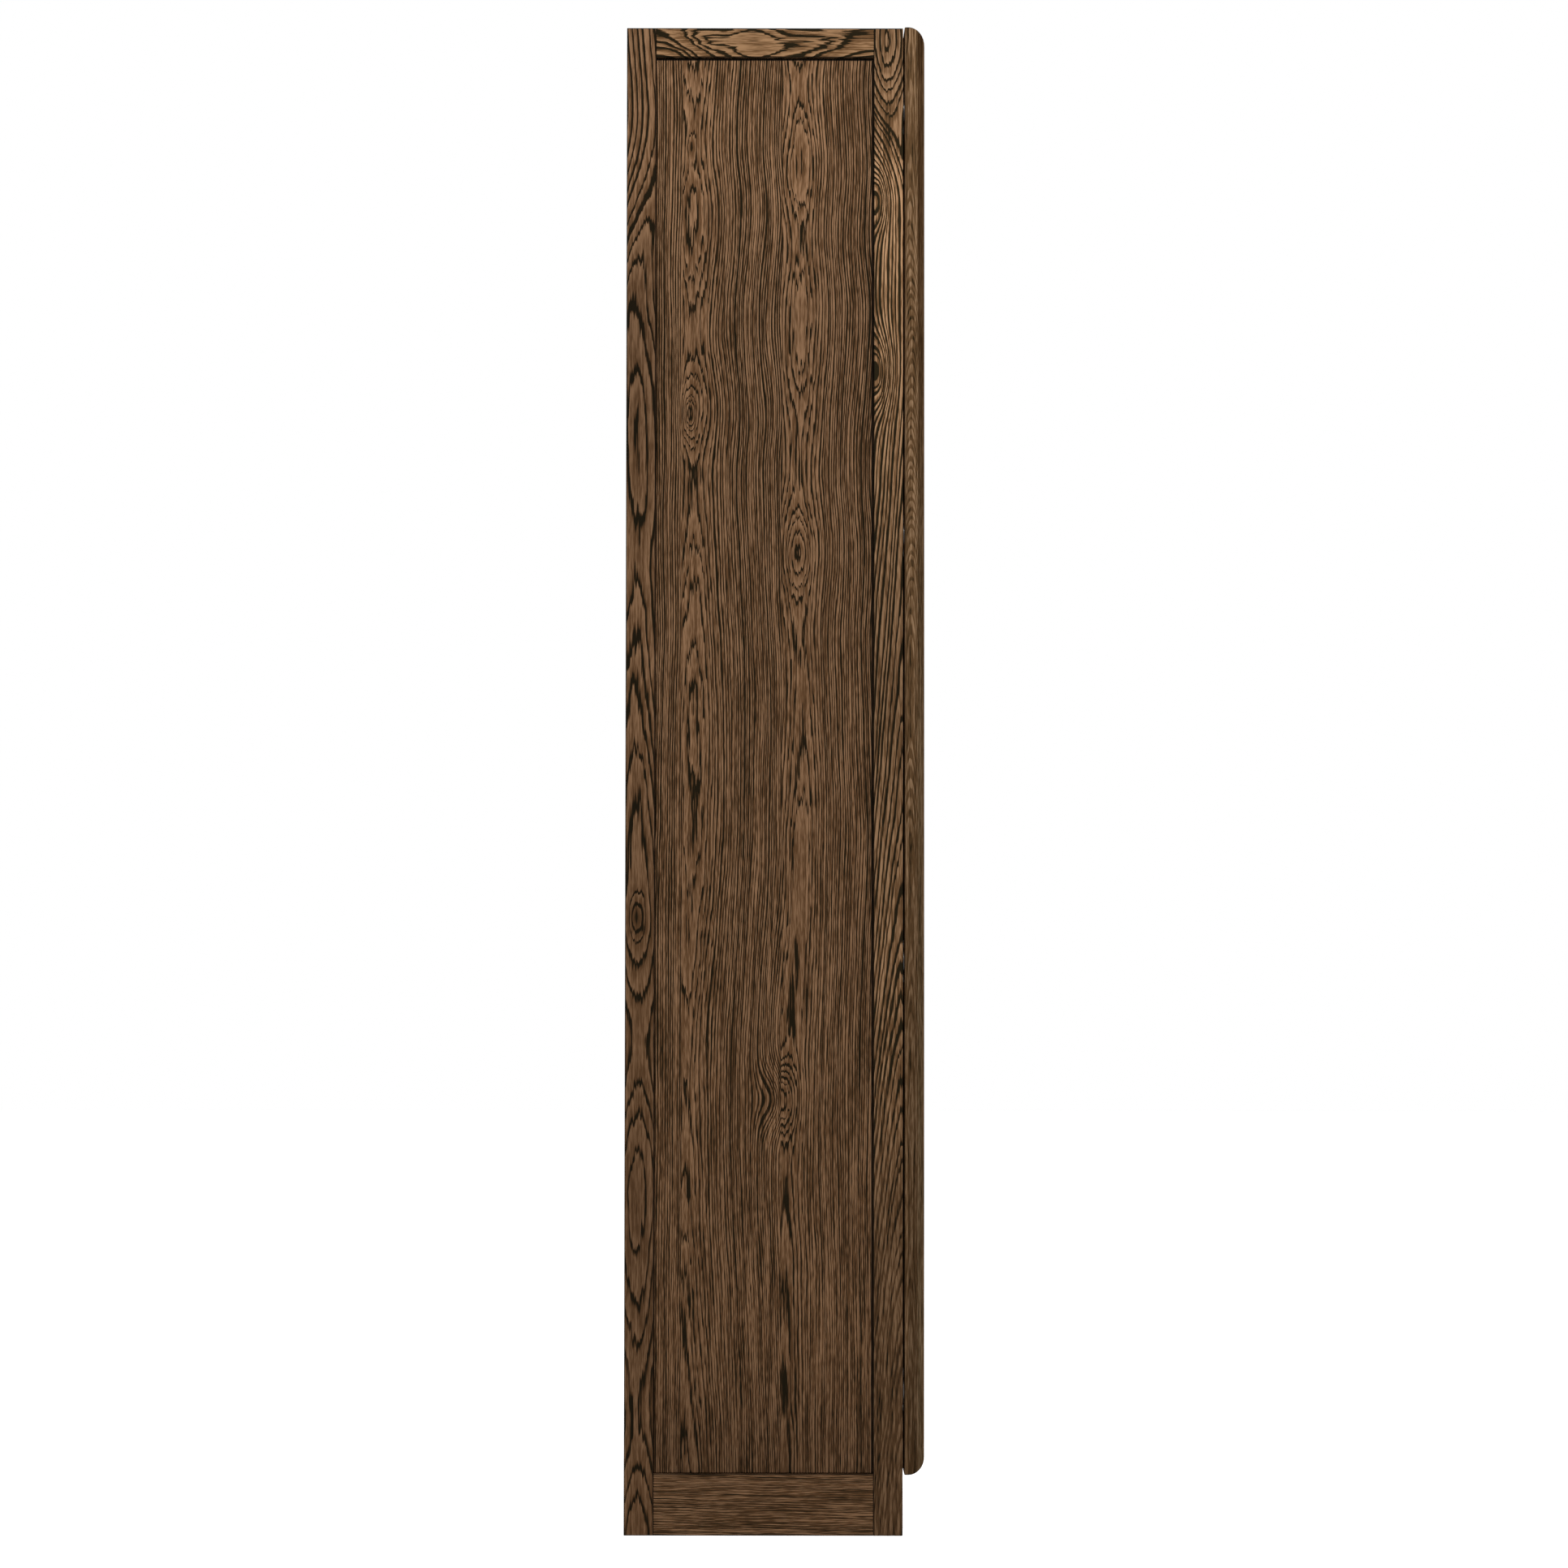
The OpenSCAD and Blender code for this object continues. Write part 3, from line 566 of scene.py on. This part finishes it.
# Backs: two oak-faced boards that are let in behind the case and screwed to it, one above and
# one below the fixed shelf. Their staves stand upright, as on the doors.
FRONT_UPRIGHT = "ZXY"
BACK_STAVE = 0.140


def standing_staves(part, width, turn):
    """Staves of an upright board from left to right, each with a figure of its own."""
    low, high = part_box(part)
    count = max(1, round((high.x - low.x) / width))
    step = (high.x - low.x) / count
    third = (high.z - low.z) / 3
    return [stave(0.024 + 0.006 * math.cos(turn + i),
                  heart=[(0, low.x + (i + 0.5 + 0.9 * math.sin(turn + 2.3 * i)) * step)],
                  years=[(low.z, 0.0),
                         (low.z + third * (1.0 + 0.5 * math.sin(i)), 6.0 * math.cos(turn + i)),
                         (high.z - third * 0.4, 9.0 * math.sin(turn + 1.7 * i)),
                         (high.z + 0.1, 4.0)],
                  start=low.x + i * step)
            for i in range(count)]


for turn, part in enumerate(["lower_back", "upper_back"]):
    board(part, FRONT_UPRIGHT, standing_staves(part, BACK_STAVE, turn), seed=97.0 + 3 * turn)


# Rails and blocks under and behind the boards: the hanging rail that takes the two wall
# screws, the front and rear plinth rails, the bearer between them and the corner blocks.
FRONT_LYING = "XZY"
for turn, part in enumerate(["hanging_rail", "plinth_front", "plinth_rear"]):
    low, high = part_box(part)
    board(part, FRONT_LYING,
          [stave(0.022,
                 heart=[(0, (low.z + high.z) / 2 + 0.03 * (turn - 1))],
                 years=[(low.x, 0.0), (0.1 * turn, 7.0), (high.x, 2.0)])],
          seed=107.0 + 3 * turn)
bearer_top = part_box("plinth_bearer")[1].z
board("plinth_bearer", SIDE_LYING,
      [stave(0.030, heart=[(0, bearer_top)], years=[(-0.2, 0), (0.2, 5)])],
      seed=119.0)
board("corner_blocks", SIDE_UPRIGHT,
      [stave(0.050, heart=[(0, 0.0)], years=[(0, 0.0)])],
      seed=123.0, ring=0.0045)


# Dowels: turned beech, glued into the ends of the top board and of the hanging rail, left
# pale and unstained, with the short flecks that beech shows.
def beech():
    """Bare beech, whose flecks stand a tenth of a millimetre high."""
    made, tree, shader = start_material("beech dowel")
    fleck = scatter(tree, here(tree), (300.0, 900.0, 900.0), 5.0, 2.0)
    warm = fleck.rise(-0.4, 0.6).mix((0.50, 0.33, 0.19), (0.66, 0.47, 0.30))
    tree.links.new(warm.value, shader.inputs["Base Color"])
    shader.inputs["Roughness"].default_value = 0.6
    relief(tree, shader, fleck, 0.0001)
    return made


dowel_wood = beech()
dress("top_dowels", dowel_wood)
dress("rail_dowels", dowel_wood)


# Cams, bolts and screws of the case: die-cast cams and turned, zinc plated bolts draw the
# boards against the stiles, and zinc plated screws hold the backs and the corner blocks.
def metal(name, colour, roughness, speckle, marks, turns):
    """A metal whose polish varies a little from place to place.

    speckle is the share of its brightness that the dullest places lose, marks the depth in
    metres of the marks that its tool left, and turns their number to a metre along X, Y and Z.
    """
    made, tree, shader = start_material(name)
    cloud = scatter(tree, here(tree), (90.0, 90.0, 90.0), 3.0, 3.0)
    brush = scatter(tree, here(tree), turns, 7.0, 2.0)
    tint = cloud.rise(-0.8, 0.8).mix(toned(colour, 1.0 - speckle), colour)
    tree.links.new(tint.value, shader.inputs["Base Color"])
    tree.links.new((roughness + cloud * 0.06 + brush * 0.04).value, shader.inputs["Roughness"])
    shader.inputs["Metallic"].default_value = 1.0
    relief(tree, shader, brush, marks)
    return made


dress("cam_locks", metal("cast zinc", (0.46, 0.46, 0.46), roughness=0.48, speckle=0.20,
                         marks=0.00004, turns=(900, 900, 900)))
zinc = metal("zinc plated screw", (0.64, 0.62, 0.54), roughness=0.34, speckle=0.15,
             marks=0.00001, turns=(1200, 1200, 1200))
for part in ["cam_bolts", "back_screws", "block_screws"]:
    dress(part, zinc)


# Shelf supports: bright nickel plated steel pins with a lug, pushed into bores in the stiles,
# four under each loose shelf.
BRUSH_TURNS = (250, 2500, 2500)
nickel = metal("nickel plated steel", (0.62, 0.60, 0.57), roughness=0.28, speckle=0.08,
               marks=0.00001, turns=BRUSH_TURNS)
dress("shelf_supports", nickel)


# Doors: two full-height oak doors with a big round over all four edges of the front. Each is
# glued up from upright staves with a leaf of its own stain on the front, whose border round the
# outline carries painted shade at the head and painted light at the foot, and both its long
# edges are strips whose close rings climb fast, so that they show as small pale arrowheads.
DOOR_STAVE = 0.112
STRIP = 0.030
STRIP_HEART = 0.025                  # metres from the edge out to the heart of its strip
DOOR_STAIN = (0.90, 1.00, 1.06)
LEAF_STAIN = (0.92, 0.95, 0.92)
# The border round a door's outline: painted light at the foot, painted shade at the head.
RIM_FOOT_PAINTED_LIGHT = (1.12, 1.36, 1.50)
RIM_HEAD_PAINTED_SHADE = (0.38, 0.38, 0.35)
RIM_HEIGHTS = (0.4, 1.8)             # metres up, where the border's painted light turns to painted shade
RIM_WIDTH = (0.006, 0.020)           # metres in from the outline, where the painted border ends
GLUE_LINE = (0.0084, 0.0096)         # metres behind the front, where the leaf ends


def edge_strip(part, start, edge, outward):
    """The strip along one edge, from a young tree whose heart lies past that edge."""
    low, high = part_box(part)
    return stave((low.y - high.y) / 2, heart=[(0, edge + outward * STRIP_HEART)],
                 years=[(0.0, 0.0), (0.9, 4.0), (1.1, 10.0), (1.9, 50.0), (2.1, 52.0)],
                 start=start, ring=0.0016, bold=0.30)


def leaf_with_painted_border(wood, height, timber, edges):
    """Lays the leaf over the front of a door, with painted light at the foot and painted shade at
    the head of a border round the outline.
    """
    painted_border = timber.along.rise(*RIM_HEIGHTS).mix(stained(height, RIM_FOOT_PAINTED_LIGHT),
                                              stained(height, RIM_HEAD_PAINTED_SHADE))
    inside_painted_border = edges[0].math("MINIMUM", edges[2]).rise(*RIM_WIDTH)
    leaf = inside_painted_border.mix(painted_border, stained(height, LEAF_STAIN))
    return timber.deep.rise(*GLUE_LINE).mix(leaf, wood)


for part, turn, seed in [("left_door", 4, 131.0), ("right_door", 5, 136.0)]:
    low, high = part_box(part)
    inner = standing_staves(part, DOOR_STAVE, turn)
    inner[0]["start"] = low.x + STRIP
    staves = [edge_strip(part, None, low.x, -1), *inner,
              edge_strip(part, high.x - STRIP, high.x, 1)]
    board(part, FRONT_UPRIGHT, staves, seed=seed, tone=DOOR_STAIN, contrast=0.8,
          veneer=leaf_with_painted_border, window=(low, high + PAST_DOOR_GAP), shine=0.0)


# Hinges: pressed cups, arms and plates with a black nickel finish, made near black as painted
# shade so that they show dark in the door gap. Each cup turns on a ground steel pin, and zinc
# plated screws hold it in its bore and the plate on the stile.
black_nickel_gap_shade = metal("black nickel plated steel", (0.085, 0.082, 0.080), roughness=0.36,
                     speckle=0.15, marks=0.00001, turns=BRUSH_TURNS)
for part in ["left_hinge_cups", "right_hinge_cups", "hinge_arms", "hinge_plates"]:
    dress(part, black_nickel_gap_shade)
pin_steel = metal("ground pin steel", (0.50, 0.49, 0.48), roughness=0.20, speckle=0.05,
                  marks=0.000005, turns=(2500, 2500, 250))
for part in ["left_hinge_pins", "right_hinge_pins"]:
    dress(part, pin_steel)
for part in ["left_cup_screws", "right_cup_screws", "plate_screws", "arm_screws"]:
    dress(part, zinc)


# Catches and bumpers: moulded brown housings hold the magnets under the boards, nickel plated
# strikes are screwed to the doors, and silicone domes stop the doors against the case.
def moulded(name, colour, roughness, grain):
    """A moulded plastic or rubber, with the mould's fine grain of a given depth in metres."""
    made, tree, shader = start_material(name)
    texture = scatter(tree, here(tree), (1500.0, 1500.0, 1500.0), 2.0, 2.0)
    cloud = scatter(tree, here(tree), (60.0, 60.0, 60.0), 4.0, 2.0)
    tint = cloud.rise(-0.8, 0.8).mix(toned(colour, 0.85), colour)
    tree.links.new(tint.value, shader.inputs["Base Color"])
    tree.links.new((roughness + cloud * 0.05).value, shader.inputs["Roughness"])
    relief(tree, shader, texture, grain)
    return made


dress("catch_housings", moulded("moulded housing", (0.055, 0.032, 0.018), roughness=0.45,
                                grain=0.00006))
dress("catch_magnets", metal("magnet", (0.16, 0.16, 0.17), roughness=0.40, speckle=0.20,
                             marks=0.00003, turns=(700, 700, 700)))
for part in ["left_strike_plates", "right_strike_plates"]:
    dress(part, nickel)
for part in ["strike_screws_left", "strike_screws_right"]:
    dress(part, zinc)
dress("door_bumpers", moulded("silicone", (0.62, 0.62, 0.60), roughness=0.25, grain=0.00002))


# Floor, light and camera: a plain pale studio floor, a soft key lamp high in front of the left
# side, two weaker lamps for the doors and the back, and a long lens that looks at the left side
# from a little below the middle.
WHITE = (1.0, 1.0, 1.0, 1.0)
FLOOR_REACH = 14.0
FLOOR_GLOW = 0.85
FILL = 0.15
LAMP_SPREAD = math.radians(120.0)
middle = (cad_low + cad_high) / 2


def backdrop_rays(tree):
    """1 for the rays that see the backdrop or a reflection of it, and 0 for those that light."""
    rays = tree.nodes.new("ShaderNodeLightPath")
    seen = Field(tree, rays.outputs["Is Camera Ray"])
    for kind in ["Is Glossy Ray", "Is Transmission Ray"]:
        seen = seen.math("MAXIMUM", Field(tree, rays.outputs[kind]))
    return seen


def soft_lamp(name, spot, aim, size, power):
    """A round lamp so many metres wide, turned towards a place."""
    lamp = bpy.data.lights.new(name, "AREA")
    lamp.shape = "DISK"
    lamp.size = size
    lamp.energy = power
    lamp.spread = LAMP_SPREAD
    made = bpy.data.objects.new(name, lamp)
    made.location = spot
    made.rotation_mode = "QUATERNION"
    made.rotation_quaternion = (Vector(aim) - Vector(spot)).to_track_quat("-Z", "Y")
    bpy.context.collection.objects.link(made)


floor_mesh = bpy.data.meshes.new("studio_floor")
floor_mesh.from_pydata(
    [(-FLOOR_REACH, -FLOOR_REACH, 0), (FLOOR_REACH, -FLOOR_REACH, 0),
     (FLOOR_REACH, FLOOR_REACH, 0), (-FLOOR_REACH, FLOOR_REACH, 0)], [], [(0, 1, 2, 3)])
floor = bpy.data.objects.new("studio_floor", floor_mesh)
bpy.context.collection.objects.link(floor)
floor_finish, floor_tree, floor_shader = start_material("pale studio floor")
floor_shader.inputs["Base Color"].default_value = (0.80, 0.80, 0.80, 1.0)
floor_shader.inputs["Roughness"].default_value = 0.9
floor_shader.inputs["Specular IOR Level"].default_value = 0.1
floor_shader.inputs["Emission Color"].default_value = WHITE
floor_tree.links.new((backdrop_rays(floor_tree) * FLOOR_GLOW).value,
                     floor_shader.inputs["Emission Strength"])
floor.data.materials.append(floor_finish)

world = bpy.data.worlds.new("studio")
bpy.context.scene.world = world
world.use_nodes = True
sky = world.node_tree
backdrop = sky.nodes["Background"]
backdrop.inputs["Color"].default_value = WHITE
sky.links.new((FILL + backdrop_rays(sky) * (1.0 - FILL)).value, backdrop.inputs["Strength"])

soft_lamp("key", (-3.5, -1.1, 4.2), (cad_low.x, middle.y, 1.5), size=1.0, power=75.0)
soft_lamp("front fill", (5.2, -3.4, 2.4), middle, size=2.0, power=90.0)
soft_lamp("back fill", (2.2, 5.0, 2.8), middle, size=2.0, power=50.0)

bpy.context.scene.view_settings.view_transform = "Standard"
camera_data = bpy.data.cameras.new("camera")
camera_data.sensor_width = 36.0
camera_data.lens = 103.96
camera_data.clip_end = 60.0
camera = bpy.data.objects.new("camera", camera_data)
bpy.context.collection.objects.link(camera)
bpy.context.scene.camera = camera
CAMERA_AWAY = 6.0
CAMERA_HEIGHT = 0.792
yaw = math.radians(-0.113)
pitch = math.radians(1.908)
roll = math.radians(0.067)
forward = Vector((math.cos(pitch) * math.cos(yaw), math.cos(pitch) * math.sin(yaw),
                  math.sin(pitch)))
camera.location = (cad_low.x - CAMERA_AWAY, 0.0, CAMERA_HEIGHT)
camera.rotation_mode = "QUATERNION"
camera.rotation_quaternion = (forward.to_track_quat("-Z", "Y")
                              @ Quaternion((0.0, 0.0, 1.0), roll))
